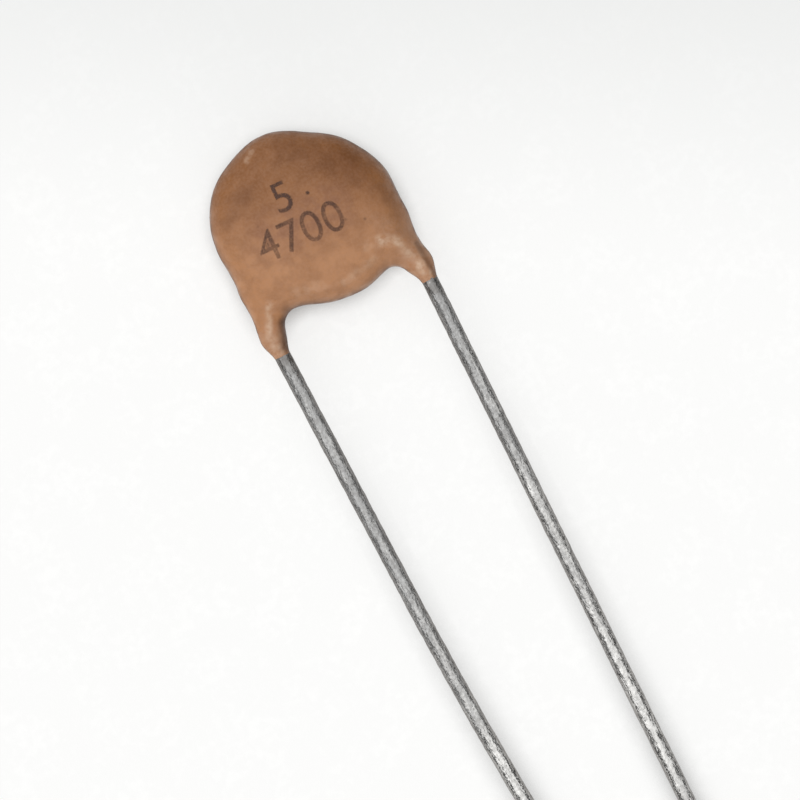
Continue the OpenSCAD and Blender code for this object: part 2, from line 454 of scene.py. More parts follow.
class Effect(Wiring):
    """A shader node group with named inputs and one mask.

    Attributes:
        given: what the group is given, by the inputs' names.
        mask: the socket that the mask goes out through.
    """

    def __init__(self, name: str, inputs: dict[str, float | None]) -> None:
        """Makes the group and its sockets.

        Args:
            name: the group's name.
            inputs: its inputs by name: None for a vector, or a number's usual value.
        """
        super().__init__(bpy.data.node_groups.new(name, "ShaderNodeTree"))
        for label, usual in inputs.items():
            kind = "NodeSocketVector" if usual is None else "NodeSocketFloat"
            socket = self.tree.interface.new_socket(label, in_out="INPUT", socket_type=kind)
            if usual is not None:
                socket.default_value = usual
        self.tree.interface.new_socket("Mask", in_out="OUTPUT", socket_type="NodeSocketFloat")
        self.given = self.tree.nodes.new("NodeGroupInput").outputs
        self.mask = self.tree.nodes.new("NodeGroupOutput").inputs["Mask"]

    def noise(self, vector: Feed, scale: Feed) -> bpy.types.NodeSocket:
        """Masks what a noise has above the given levels, with the given detail.

        Args:
            vector: where the noise is read.
            scale: its scale.

        Returns:
            The mask.
        """
        node = self.add("TexNoise")
        self.feed(node.inputs["Vector"], vector)
        self.feed(node.inputs["Scale"], scale)
        self.feed(node.inputs["Detail"], self.given["Detail"])
        return self.ramp(node.outputs[0], (self.given["Low"], self.given["High"]), (0.0, 1.0))

    def finish(self, mask: bpy.types.NodeSocket) -> bpy.types.NodeTree:
        """Sends the mask out.

        Args:
            mask: the mask.

        Returns:
            The finished group.
        """
        self.feed(self.mask, mask)
        return self.tree


@cache
def mottle() -> bpy.types.NodeTree:
    """Makes the group of soft cloudy patches of one size, between two levels of a noise.

    Returns:
        The group.
    """
    effect = Effect("mottle", {"Vector": None, "Size": 1.0, "Detail": 2.0, "Low": 0.35, "High": 0.65})
    scale = effect.maths("DIVIDE", 1.0, effect.given["Size"], clamp=False)
    return effect.finish(effect.noise(effect.given["Vector"], scale))


@cache
def flecks() -> bpy.types.NodeTree:
    """Makes the group of small round flecks, in some of the cells of a loose grid.

    Returns:
        The group.
    """
    effect = Effect("flecks", {"Vector": None, "Pitch": 1.0, "Radius": 0.2, "Share": 0.3})
    cells = effect.add("TexVoronoi")
    effect.feed(cells.inputs["Vector"], effect.given["Vector"])
    scale = effect.maths("DIVIDE", 1.0, effect.given["Pitch"], clamp=False)
    effect.feed(cells.inputs["Scale"], scale)
    spot = effect.ramp(cells.outputs["Distance"], (0.0, effect.given["Radius"]), (1.0, 0.0))
    draw = effect.add("SeparateColor")
    effect.feed(draw.inputs[0], cells.outputs["Color"])
    kept = effect.maths("LESS_THAN", draw.outputs[0], effect.given["Share"])
    return effect.finish(effect.times(spot, kept))


@cache
def streaks() -> bpy.types.NodeTree:
    """Makes the group of ragged streaks along Y.

    Returns:
        The group.
    """
    inputs = {"Vector": None, "Width": 0.1, "Length": 1.0, "Detail": 3.0, "Low": 0.4, "High": 0.6}
    effect = Effect("streaks", inputs)
    size = effect.add("CombineXYZ")
    for socket, label in zip(size.inputs, ("Width", "Length", "Width")):
        effect.feed(socket, effect.given[label])
    squeezed = effect.vectors("DIVIDE", effect.given["Vector"], size.outputs[0]).outputs["Vector"]
    return effect.finish(effect.noise(squeezed, 1.0))


@cache
def tide() -> bpy.types.NodeTree:
    """Makes the group of a ragged change along Y, from 0 at its start to 1 at its end.

    Returns:
        The group.
    """
    effect = Effect("tide", {"Vector": None, "Start": 0.0, "End": 1.0, "Ragged": 0.2, "Size": 0.3})
    level = effect.coordinate(effect.given["Vector"], "Y")
    waver = effect.group(mottle(), Vector=effect.given["Vector"], Size=effect.given["Size"])
    shifted = effect.maths("MULTIPLY_ADD", waver, effect.given["Ragged"], level, clamp=False)
    ends = (effect.given["Start"], effect.given["End"])
    return effect.finish(effect.ramp(shifted, ends, (0.0, 1.0)))


@cache
def upright() -> bpy.types.NodeTree:
    """Makes the group of the upright faces, fading out as they turn to lie flat.

    Returns:
        The group.
    """
    effect = Effect("upright", {"Normal": None, "Steep": 0.0, "Flat": 1.0})
    turned = effect.maths("ABSOLUTE", effect.coordinate(effect.given["Normal"], "Z"), clamp=False)
    limits = (effect.given["Steep"], effect.given["Flat"])
    return effect.finish(effect.ramp(turned, limits, (1.0, 0.0)))


class Shading(Wiring):
    """A material with one Principled shader, whose patterns are laid out in millimetres.

    Attributes:
        material: the material.
        surface: the shader's inputs.
        coordinates: the piece's own coordinates, in metres.
        place: the same in millimetres, from the patterns' centre.
    """

    def __init__(self, name: str, centre: Vector) -> None:
        """Makes the material, its shader and its coordinates.

        Args:
            name: the material's name.
            centre: the point that the patterns are centred on, in metres.
        """
        self.material = bpy.data.materials.new(name)
        self.material.use_nodes = True
        super().__init__(self.material.node_tree)
        self.surface = self.tree.nodes["Principled BSDF"].inputs
        self.coordinates = self.add("TexCoord").outputs
        place = self.add("Mapping")
        self.feed(place.inputs["Vector"], self.coordinates["Object"])
        self.feed(place.inputs["Location"], tuple(-centre * PER_MM))
        self.feed(place.inputs["Scale"], (PER_MM,) * 3)
        self.place = place.outputs[0]

    def pattern(self, tree: bpy.types.NodeTree, **values: Feed) -> bpy.types.NodeSocket:
        """Adds a pattern's group, laid out in millimetres.

        Args:
            tree: the group.
            values: what its other inputs are fed, by name.

        Returns:
            The pattern.
        """
        return self.group(tree, Vector=self.place, **values)

    def give(self, **values: Feed) -> None:
        """Feeds the shader's inputs.

        Args:
            values: what each is fed, by its name, with underscores for spaces.
        """
        for name, value in values.items():
            self.feed(self.surface[name.replace("_", " ")], value)

    def paint(self, colour: Feed, tints: list[tuple[Feed, Colour]]) -> None:
        """Colours the surface, with tints one over the other.

        Args:
            colour: the colour under them all.
            tints: each tint's mask and its colour, from the lowest up.
        """
        for mask, tint in tints:
            colour = self.blend(mask, colour, tint)
        self.give(Base_Color=colour)

    def bump(self, layers: list[tuple[bpy.types.NodeSocket, float]]) -> None:
        """Raises the surface by several masks, one over the other.

        Args:
            layers: each mask and its height in metres, below zero for a hollow.
        """
        under = None
        for mask, height in layers:
            node = self.add("Bump", invert=height < 0)
            self.feed(node.inputs["Height"], mask)
            self.feed(node.inputs["Distance"], abs(height))
            if under:
                self.feed(node.inputs["Normal"], under)
            under = node.outputs[0]
        self.give(Normal=under)


# Finishes -----------------------------------------------------------------------------------------


@dataclass(frozen=True)
class Stroke:
    """A straight soft-edged stroke on the disc, in millimetres from its middle.

    Attributes:
        start: its start.
        end: its end.
        width: how far it reaches to each side.
        share: how strong it is in its middle, from 0 to 1.
    """

    CORE = 0.1  # the share of its width that is at full strength

    start: tuple[float, float]
    end: tuple[float, float]
    width: float
    share: float

    def mask(self, sheet: Shading) -> bpy.types.NodeSocket:
        """Masks the stroke, through the disc's whole thickness.

        Args:
            sheet: the material.

        Returns:
            The mask.
        """
        run = (self.end[0] - self.start[0], self.end[1] - self.start[1], 0.0)
        per_run = tuple(part / (run[0] ** 2 + run[1] ** 2) for part in run)
        back = (-self.start[0], -self.start[1], 0.0)
        place = sheet.vectors("MULTIPLY_ADD", sheet.place, (1.0, 1.0, 0.0), back).outputs["Vector"]
        # The clamp keeps the nearest point of the stroke between its two ends.
        reach = sheet.times(sheet.along(place, per_run), 1.0)
        nearest = sheet.vectors("MULTIPLY", run, reach).outputs["Vector"]
        away = sheet.vectors("DISTANCE", place, nearest).outputs["Value"]
        return sheet.ramp(away, (self.CORE * self.width, self.width), (self.share, 0.0))


@dataclass(frozen=True)
class ResinFinish:
    """Waxed brown phenolic dip coat: half matt, deeper towards one end, paler over the wires.

    Attributes:
        centre: the disc's middle, in metres.
        pale: its colour at its paler end.
        deep: its colour at the other end.
        brown: the darker clouds in it.
        bloom: the pinkish haze round the mark.
        film: its colour where it is only a film over a wire.
        scuff_and_highlight: the chalky colour of its rubbed thin places and of its painted highlights.
        edge: its greyed rim and pit colour, also used for painted shade on walls and necks.
        paling_way: the direction in which it pales, across the disc.
        paling_reach: from where to where along that it pales, in millimetres from the middle.
        film_reach: the thickness up to which it is all film, and from which it is none, in
            millimetres.
        painted_highlights: the painted highlights, as strokes on its necks, its lower rim and its face.
        haze: where the mark has left its haze.
        browner_patches: where it is browner.
        painted_neck_shades: where the rim's colour paints shade up the flanks of the necks.
        paling: how much of the pale colour its paler end has, from 0 to 1.
        patchy: how much of it the patches add, from 0 to 1.
        cloudy: how dark the clouds are, from 0 to 1.
        grainy: how pale the grain is, from 0 to 1.
        pitted: how dark the pits are, from 0 to 1.
    """

    centre: Vector
    pale: Colour = tone(184, 132, 92)
    deep: Colour = tone(131, 80, 34)
    brown: Colour = tone(98, 57, 30)
    bloom: Colour = tone(152, 106, 82)
    film: Colour = tone(178, 136, 108)
    scuff_and_highlight: Colour = tone(214, 184, 158)
    edge: Colour = tone(70, 48, 36)
    paling_way: tuple[float, float, float] = (-0.35, -0.94, 0.0)
    paling_reach: tuple[float, float] = (-2.0, 2.0)
    film_reach: tuple[float, float] = (0.08, 0.34)
    # Painted highlights: pale strokes where light would glint on the necks, the lower rim and the face.
    painted_highlights: tuple[Stroke, ...] = (
        Stroke((-0.75, 2.2), (-0.5, 2.4), 0.15, 0.45),
        Stroke((1.7, -1.75), (2.15, -1.98), 0.26, 0.7),
        Stroke((1.3, -1.75), (1.75, -1.75), 0.3, 0.2),
        Stroke((2.15, -2.0), (2.45, -2.9), 0.2, 0.5),
        Stroke((2.42, -2.95), (2.5, -3.25), 0.24, 0.8),
        Stroke((-2.14, -1.9), (-2.5, -2.6), 0.18, 0.6),
        Stroke((-2.6, -2.8), (-2.5, -3.3), 0.26, 0.5),
        Stroke((0.2, -2.35), (1.3, -2.15), 0.2, 0.28),
        Stroke((-1.2, -1.95), (-0.5, -2.15), 0.3, 0.2),
    )
    haze: Stroke = Stroke((-1.0, -0.2), (0.8, -0.2), 1.2, 1.0)
    # Browner patches on the upper left and along the upper right edge.
    browner_patches: tuple[Stroke, ...] = (
        Stroke((-2.1, 0.9), (-1.2, 1.3), 0.5, 0.3),
        Stroke((0.4, 1.9), (1.9, 0.6), 0.75, 0.32),
        Stroke((1.9, 0.6), (2.4, -0.6), 0.5, 0.2),
    )
    # Painted shade: dark strokes on the necks' flanks that turn from the light.
    painted_neck_shades: tuple[Stroke, ...] = (
        Stroke((-1.98, -2.6), (-2.28, -3.25), 0.3, 0.72),
        Stroke((-1.75, -2.32), (-1.98, -2.6), 0.26, 0.4),
        Stroke((2.64, -2.3), (2.7, -3.4), 0.14, 0.5),
    )
    paling: float = 0.88
    patchy: float = 0.22
    cloudy: float = 0.27
    grainy: float = 0.2
    pitted: float = 0.45

    def material(self) -> bpy.types.Material:
        """Makes the resin's material.

        Returns:
            The material.
        """
        sheet = Shading("brown_resin", self.centre)
        patches = sheet.pattern(mottle(), Size=1.5, Detail=3.0, Low=0.32, High=0.68)
        clouds = sheet.pattern(mottle(), Size=0.38, Detail=3.0, Low=0.3, High=0.7)
        grain = sheet.pattern(mottle(), Size=0.085, Detail=3.0, Low=0.3, High=0.7)
        pits = sheet.pattern(flecks(), Pitch=0.5, Radius=0.16, Share=0.3)
        thin = self._thin(sheet)
        # The face is paler towards -Y, where the leads leave, and deeper towards +Y, with patches.
        pale = sheet.plus(
            sheet.times(self._paler_end(sheet), self.paling),
            sheet.times(patches, self.patchy),
        )
        uneven = sheet.between(clouds, 0.7, 1.0)
        tints = [
            (self._round_mark(sheet, clouds), self.bloom),
            (sheet.times(clouds, self.cloudy), self.brown),
            (sheet.times(grain, self.grainy), self.film),
            *((sheet.times(browner_patch.mask(sheet), uneven), self.brown) for browner_patch in self.browner_patches),
            (sheet.times(thin, sheet.between(grain, 0.3, 0.8)), self.film),
            # Painted shade up the flanks of the necks.
            *((shade.mask(sheet), self.edge) for shade in self.painted_neck_shades),
            # Partly painted shade: every upright wall darkens towards the rim's colour.
            (self._rim_and_wall_shade(sheet, clouds), self.edge),
            (sheet.times(pits, self.pitted), self.edge),
            # The chalky colour also paints the highlights here.
            (self._scuffs_and_highlights(sheet, thin), self.scuff_and_highlight),
        ]
        sheet.paint(sheet.blend(pale, self.deep, self.pale), tints)
        sheet.give(Roughness=sheet.between(clouds, 0.36, 0.54), Specular_IOR_Level=0.3)
        sheet.bump([(clouds, 10e-6), (grain, 2e-6), (pits, -6e-6)])
        return sheet.material

    def _paler_end(self, sheet: Shading) -> bpy.types.NodeSocket:
        """Masks the paler end of the disc, along the direction in which it pales.

        Args:
            sheet: the material.

        Returns:
            The mask.
        """
        return sheet.ramp(sheet.along(sheet.place, self.paling_way), self.paling_reach, (0.0, 1.0))

    def _round_mark(self, sheet: Shading, clouds: bpy.types.NodeSocket) -> bpy.types.NodeSocket:
        """Masks a soft, broken patch under the mark.

        Args:
            sheet: the material.
            clouds: the mask that breaks it.

        Returns:
            The mask.
        """
        return sheet.times(self.haze.mask(sheet), sheet.between(clouds, 0.15, 0.6))

    def _thin(self, sheet: Shading) -> bpy.types.NodeSocket:
        """Masks the places where the resin is a film, from the coat's own measure of it.

        Args:
            sheet: the material.

        Returns:
            The mask.
        """
        measure = sheet.add("Attribute", attribute_name=DipCoat.FILM).outputs["Fac"]
        return sheet.ramp(measure, self.film_reach, (1.0, 0.0))

    def _scuffs_and_highlights(self, sheet: Shading, thin: bpy.types.NodeSocket) -> bpy.types.NodeSocket:
        """Masks a few chalky rubbed places where the resin is thin, and the painted highlights.

        Args:
            sheet: the material.
            thin: the mask of the thin places.

        Returns:
            The mask.
        """
        smears = sheet.pattern(mottle(), Size=0.2, Detail=6.0, Low=0.25, High=0.75)
        held = sheet.pattern(mottle(), Size=0.8, Detail=1.0, Low=0.5, High=0.65)
        where = sheet.times(held, sheet.between(thin, 0.0, 0.22))
        for highlight in self.painted_highlights:
            where = sheet.plus(where, highlight.mask(sheet))
        return sheet.times(smears, where)

    def _rim_and_wall_shade(self, sheet: Shading, clouds: bpy.types.NodeSocket) -> bpy.types.NodeSocket:
        """Masks the upright walls unevenly: a darker rim, partly of the resin and partly painted shade.

        Args:
            sheet: the material.
            clouds: the mask that makes them uneven.

        Returns:
            The mask.
        """
        walls = sheet.group(upright(), Normal=sheet.coordinates["Normal"], Flat=0.55)
        return sheet.times(walls, sheet.between(clouds, 0.56, 0.8))


@dataclass(frozen=True)
class TinnedFinish:
    """Hot-tinned wire: lumpy, bright in ragged streaks, dull grey near the coat.

    Attributes:
        centre: the disc's middle, in metres.
        coat_end: how far below it the coat ends, in millimetres.
        brightening_from: how far below it the tin begins to brighten, in millimetres.
        brightest_from: how far below it the tin is at its brightest, in millimetres.
        bright: its brightest tin.
        dull: its duller tin, in its streaks and near the coat.
        stain_and_flank_shade: the wire just below the coat and its grit, also the painted shade on its
            flanks.
        streaked: how much each of two sizes of streaks dulls it, from 0 to 1.
        coat_dulling: how much it dulls near the coat, from 0 to 1.
        gritty: how dark its grit is, from 0 to 1.
        soiled: how dark it is at the coat's end, from 0 to 1.
        soil_length: how far below the coat that fades out, in millimetres.
        flank_shade: how dark the painted shade on its flanks is, from 0 to 1.
        speckled: how bright its specks are, from 0 to 1.
    """

    centre: Vector
    coat_end: float
    brightening_from: float
    brightest_from: float
    bright: Colour = tone(242, 241, 238)
    dull: Colour = tone(180, 180, 179)
    stain_and_flank_shade: Colour = tone(104, 98, 94)
    streaked: float = 0.3
    coat_dulling: float = 0.7
    gritty: float = 0.3
    soiled: float = 0.55
    soil_length: float = 0.7
    flank_shade: float = 0.75
    speckled: float = 0.5

    def material(self, name: str) -> bpy.types.Material:
        """Makes the tin's material.

        Args:
            name: the material's name.

        Returns:
            The material.
        """
        sheet = Shading(name, self.centre)
        drawn = sheet.pattern(streaks(), Width=0.07, Length=0.5)
        broad = sheet.pattern(streaks(), Width=0.3, Length=2.4, Detail=2.0)
        ripples = sheet.pattern(streaks(), Width=0.16, Length=0.36, Low=0.25, High=0.75)
        grit = sheet.pattern(mottle(), Size=0.085, Detail=2.0)
        specks = sheet.pattern(flecks(), Pitch=0.22, Radius=0.24, Share=0.3)
        # Duller near the coat and brighter towards the tip.
        near_coat = sheet.pattern(tide(), Start=-self.brightest_from, End=-self.brightening_from, Ragged=2.5, Size=1.6)
        soil_end = self.coat_end + self.soil_length
        soil = sheet.pattern(tide(), Start=-soil_end, End=-self.coat_end, Ragged=0.25)
        flanks = sheet.group(upright(), Normal=sheet.coordinates["Normal"], Steep=0.4, Flat=0.93)

        dull_share = sheet.plus(sheet.times(drawn, self.streaked), sheet.times(broad, self.streaked))
        dull_share = sheet.plus(dull_share, sheet.times(near_coat, self.coat_dulling))
        tints = [
            (dull_share, self.dull),
            (sheet.times(grit, self.gritty), self.stain_and_flank_shade),
            (sheet.times(soil, self.soiled), self.stain_and_flank_shade),
            # Painted shade: the flanks darken as they turn upright.
            (sheet.times(flanks, self.flank_shade), self.stain_and_flank_shade),
            (sheet.times(specks, self.speckled), self.bright),
        ]
        sheet.paint(self.bright, tints)
        sheet.give(Metallic=sheet.between(dull_share, 1.0, 0.93), Roughness=sheet.between(dull_share, 0.2, 0.34))
        sheet.bump([(ripples, 18e-6), (drawn, 2e-6), (grit, 6e-6), (specks, 3e-6)])
        return sheet.material


@dataclass(frozen=True)
class InkFinish:
    """Brown-black marking ink: thin, rubbed, and feathered at the edges of its strokes.

    Attributes:
        centre: the disc's middle, in metres.
        ink: its colour where it lies thickest.
        thin: its colour where it has thinned.
        cover: how much of the resin it hides at its best.
        rubbed: the share of that which is left on the lower line.
        rubbed_between: from where to where up the disc that it is less rubbed, in millimetres.
        feathered: how far in from their edges its strokes thin, in millimetres.
    """

    centre: Vector
    ink: Colour = tone(66, 42, 34)
    thin: Colour = tone(92, 62, 50)
    cover: float = 0.56
    rubbed: float = 0.6
    rubbed_between: tuple[float, float] = (-0.2, 0.5)
    feathered: float = 0.045

    def material(self) -> bpy.types.Material:
        """Makes the ink's material.

        Returns:
            The material.
        """
        sheet = Shading("rubbed_ink", self.centre)
        broad = sheet.pattern(mottle(), Size=0.45, Detail=2.0, Low=0.3, High=0.6)
        fine = sheet.pattern(mottle(), Size=0.07, Detail=3.0, Low=0.25, High=0.6)
        level = sheet.coordinate(sheet.place, "Y")
        line = sheet.ramp(level, self.rubbed_between, (self.rubbed * self.cover, self.cover))
        depth = sheet.add("Attribute", attribute_name=PrintedMark.DEPTH).outputs["Fac"]
        feather = sheet.ramp(depth, (0.0, self.feathered), (0.0, 1.0))
        held = sheet.times(sheet.between(broad, 0.55, 1.0), feather)
        held = sheet.times(held, sheet.between(fine, 0.45, 1.0))
        sheet.paint(self.ink, [(fine, self.thin)])
        sheet.give(Alpha=sheet.times(held, line), Roughness=0.6)
        return sheet.material


@dataclass(frozen=True)
class CeramicFinish:
    """Pressed and fired titanate: chalky, with fine pores.

    Attributes:
        centre: the disc's middle, in metres.
        body: its colour.
        shade: the colour of its pores and of its darker patches.
        patchy: how dark the patches are, from 0 to 1.
    """

    centre: Vector
    body: Colour = tone(214, 190, 150)
    shade: Colour = tone(176, 146, 104)
    patchy: float = 0.4

    def material(self) -> bpy.types.Material:
        """Makes the ceramic's material.

        Returns:
            The material.
        """
        sheet = Shading("fired_titanate", self.centre)
        patches = sheet.pattern(mottle(), Size=0.8)
        pores = sheet.pattern(flecks(), Pitch=0.12, Radius=0.25, Share=0.35)
        sheet.paint(self.body, [(sheet.times(patches, self.patchy), self.shade), (pores, self.shade)])
        sheet.give(Roughness=sheet.between(patches, 0.75, 0.9))
        sheet.bump([(pores, -5e-6)])
        return sheet.material


@dataclass(frozen=True)
class SilverFinish:
    """Silver paste printed and fired on the ceramic: matt, with the screen's faint marks.

    Attributes:
        centre: the disc's middle, in metres.
        silver: its colour.
        tarnish: its colour where it has dulled.
    """

    centre: Vector
    silver: Colour = tone(226, 224, 216)
    tarnish: Colour = tone(184, 176, 156)

    def material(self) -> bpy.types.Material:
        """Makes the silver's material.

        Returns:
            The material.
        """
        sheet = Shading("fired_silver", self.centre)
        wipes = sheet.pattern(streaks(), Width=0.12, Length=1.4)
        patches = sheet.pattern(mottle(), Size=0.9)
        sheet.paint(self.silver, [(patches, self.tarnish)])
        sheet.give(Metallic=1.0, Roughness=sheet.between(wipes, 0.38, 0.58))
        sheet.bump([(wipes, 1.5e-6)])
        return sheet.material


@dataclass(frozen=True)
class SolderFinish:
    """Frozen solder: smooth and bright, with dull crystals.

    Attributes:
        centre: the disc's middle, in metres.
        bright: its colour.
        dull: the colour of its crystals.
    """

    centre: Vector
    bright: Colour = tone(205, 206, 208)
    dull: Colour = tone(156, 157, 160)

    def material(self) -> bpy.types.Material:
        """Makes the solder's material.

        Returns:
            The material.
        """
        sheet = Shading("frozen_solder", self.centre)
        crystals = sheet.pattern(flecks(), Pitch=0.2, Radius=0.6, Share=0.6)
        ripples = sheet.pattern(mottle(), Size=0.4)
        sheet.paint(self.bright, [(crystals, self.dull)])
        sheet.give(Metallic=1.0, Roughness=sheet.between(crystals, 0.22, 0.42))
        sheet.bump([(ripples, 6e-6)])
        return sheet.material


@dataclass(frozen=True)
class PaperFinish:
    """White paper with a soft, uneven tooth, and painted shade that greys it towards its far end.

    Attributes:
        white: its colour.
        grey: its colour in the hollows of its tooth.
        far: its colour at the far end, a painted shade of the light falling off.
        falloff_way: the direction of the far end.
        falloff_reach: how far along that it starts and ends greying, in millimetres.
        glow: how much of its white it shows to the eye whatever falls on it, from 0 to 1.
        contact: how near a piece darkens that share too, in metres.
        shaded: the part of that share that is left right under a piece.
        openness: how open the paper is where that part is left, and where all of it is.
        samples: how many rays measure the openness.
    """

    white: Colour = tone(254, 254, 253)
    grey: Colour = tone(249, 249, 248)
    far: Colour = tone(232, 233, 232)
    falloff_way: tuple[float, float, float] = (0.5, 0.866, 0.0)
    falloff_reach: tuple[float, float] = (9.0, 24.0)
    glow: float = 0.78
    contact: float = 0.9 * MM
    shaded: float = 0.3
    openness: tuple[float, float] = (0.3, 0.95)
    samples: int = 8

    def material(self) -> bpy.types.Material:
        """Makes the paper's material, which is clear from below.

        Returns:
            The material.
        """
        sheet = Shading("white_paper", Vector())
        clouds = sheet.pattern(mottle(), Size=1.6, Detail=3.0)
        tooth = sheet.pattern(mottle(), Size=0.3, Detail=3.0)
        # Painted shade: the paper greys towards its far end, as the light falls off.
        far = sheet.ramp(sheet.along(sheet.place, self.falloff_way), self.falloff_reach, (0.0, 1.0))
        shade = sheet.times(sheet.plus(clouds, tooth), 0.5)
        colour = sheet.blend(shade, self.white, self.grey)
        colour = sheet.blend(far, colour, self.far)

        seen = sheet.looked_at()
        black = (0.0, 0.0, 0.0, 1.0)
        lit = sheet.blend(self.glow, colour, black)
        # Painted shadow: near a piece the glow is darkened by its ambient occlusion.
        near = sheet.add("AmbientOcclusion", samples=self.samples)
        sheet.feed(near.inputs["Distance"], self.contact)
        glow = sheet.ramp(near.outputs["AO"], self.openness, (self.shaded * self.glow, self.glow))
        shown = sheet.blend(glow, black, colour)
        below = sheet.add("NewGeometry").outputs["Backfacing"]
        sheet.give(Base_Color=sheet.blend(seen, colour, lit), Roughness=0.9)
        sheet.give(Emission_Color=sheet.blend(seen, black, shown), Emission_Strength=1.0)
        sheet.give(Alpha=sheet.maths("SUBTRACT", 1.0, below))
        sheet.bump([(tooth, 3e-6)])
        return sheet.material


# Pieces -------------------------------------------------------------------------------------------


@dataclass
class DipCoat:
    """The resin coat: the solid's own, with a skin fine enough for swells, lumps and peel.

    Attributes:
        node: the CAD node that it stands for.
        name: the piece's name.
        held: the nodes that it holds, whose cavity stays as it is.
        cavity_gap: a point closer than this to what it holds is on the cavity, in metres.
        passes: how often its skin is divided.
        evening: how far each point is evened out each time, from 0 to 1.
        evenings: how many times it is evened out after each division.
        lip_film: where the resin is thinner than this, it is a lip that stays as it is, in millimetres.
        neck_film: where the resin is thinner than this, it is lumpier, in millimetres.
        swell: the long swells of the whole skin.
        peel: the fine unevenness of the whole skin.
        drips: the lumps of the necks and the lips.
        crease: edges sharper than this stay sharp, in degrees.
    """

    SKIN = "skin"
    NECKS = "necks"
    FILM = "film"
    MEMBER = 0.9  # a point with more weight than this is on the skin

    node: str = "resin_coat"
    name: str = "dip_coat"
    held: tuple[str, ...] = ("ceramic_disc", "front_solder", "rear_solder", "right_lead", "left_lead")
    cavity_gap: float = 0.004 * MM
    passes: int = 2
    evening: float = 0.5
    evenings: int = 2
    lip_film: float = 0.02
    neck_film: float = 0.3
    swell: Lumps = Lumps(SKIN, 0.9 * MM, 0.03 * MM, 0.75)
    peel: Lumps = Lumps(SKIN, 0.22 * MM, 0.012 * MM, 0.5)
    drips: Lumps = Lumps(NECKS, 0.28 * MM, 0.03 * MM, 0.6)
    crease: float = 45.0

    def build(self, finish: ResinFinish) -> bpy.types.Object:
        """Builds and dresses the coat.

        Args:
            finish: its finish.

        Returns:
            The coat.
        """
        inside = surface_of(self.held)
        coat = copy_of_node(self.node, self.name)
        self._name_skin(coat, inside)
        for _ in range(self.passes):
            self._refine_skin(coat)
        self._measure_film(coat, inside)
        self._name_necks(coat)
        for lumps in (self.swell, self.peel, self.drips):
            lumps.press_into(coat)
        smooth_by_angle(coat, self.crease)
        coat.data.materials.append(finish.material())
        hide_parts(self.node)
        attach(coat, BODY)
        return coat

    def _name_skin(self, coat: bpy.types.Object, inside: list[BVHTree]) -> None:
        """Puts the points of the outer skin in a vertex group.

        Args:
            coat: the coat.
            inside: the surfaces that it holds.
        """
        skin = coat.vertex_groups.new(name=self.SKIN)
        outer = [v.index for v in coat.data.vertices if gap_to(inside, v.co) > self.cavity_gap]
        skin.add(outer, 1.0, "REPLACE")

    def _refine_skin(self, coat: bpy.types.Object) -> None:
        """Divides the skin's faces once and evens them out, and leaves the cavity as it is.

        Args:
            coat: the coat.
        """
        skin = coat.vertex_groups[self.SKIN].index
        with editing(coat) as mesh:
            weight = mesh.verts.layers.deform.active
            select_faces(coat, lambda face: any(v[weight].get(skin, 0) > self.MEMBER for v in face.verts))
            bpy.ops.mesh.subdivide(number_cuts=1, smoothness=0.0, quadcorner="INNERVERT")
            bpy.ops.mesh.select_mode(type="VERT")
            mesh = bmesh.from_edit_mesh(coat.data)
            weight = mesh.verts.layers.deform.active
            for vertex in mesh.verts:
                vertex.select_set(vertex[weight].get(skin, 0) > self.MEMBER)
            bmesh.update_edit_mesh(coat.data)
            bpy.ops.mesh.vertices_smooth(factor=self.evening, repeat=self.evenings)

    def _measure_film(self, coat: bpy.types.Object, inside: list[BVHTree]) -> None:
        """Keeps on each point how thick the resin is there, in millimetres.

        Args:
            coat: the coat.
            inside: the surfaces that it holds.
        """
        film = coat.data.attributes.new(self.FILM, "FLOAT", "POINT")
        thick = [gap_to(inside, v.co) * PER_MM for v in coat.data.vertices]
        film.data.foreach_set("value", thick)

    def _name_necks(self, coat: bpy.types.Object) -> None:
        """Puts the points of the necks in a vertex group, less and less towards the lips.

        Args:
            coat: the coat.
        """
        necks = coat.vertex_groups.new(name=self.NECKS)
        film = coat.data.attributes[self.FILM].data
        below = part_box("ceramic_disc")[0].y
        for vertex, measure in zip(coat.data.vertices, film):
            if vertex.co.y < below and self.lip_film < measure.value < self.neck_film:
                necks.add([vertex.index], measure.value / self.neck_film, "REPLACE")


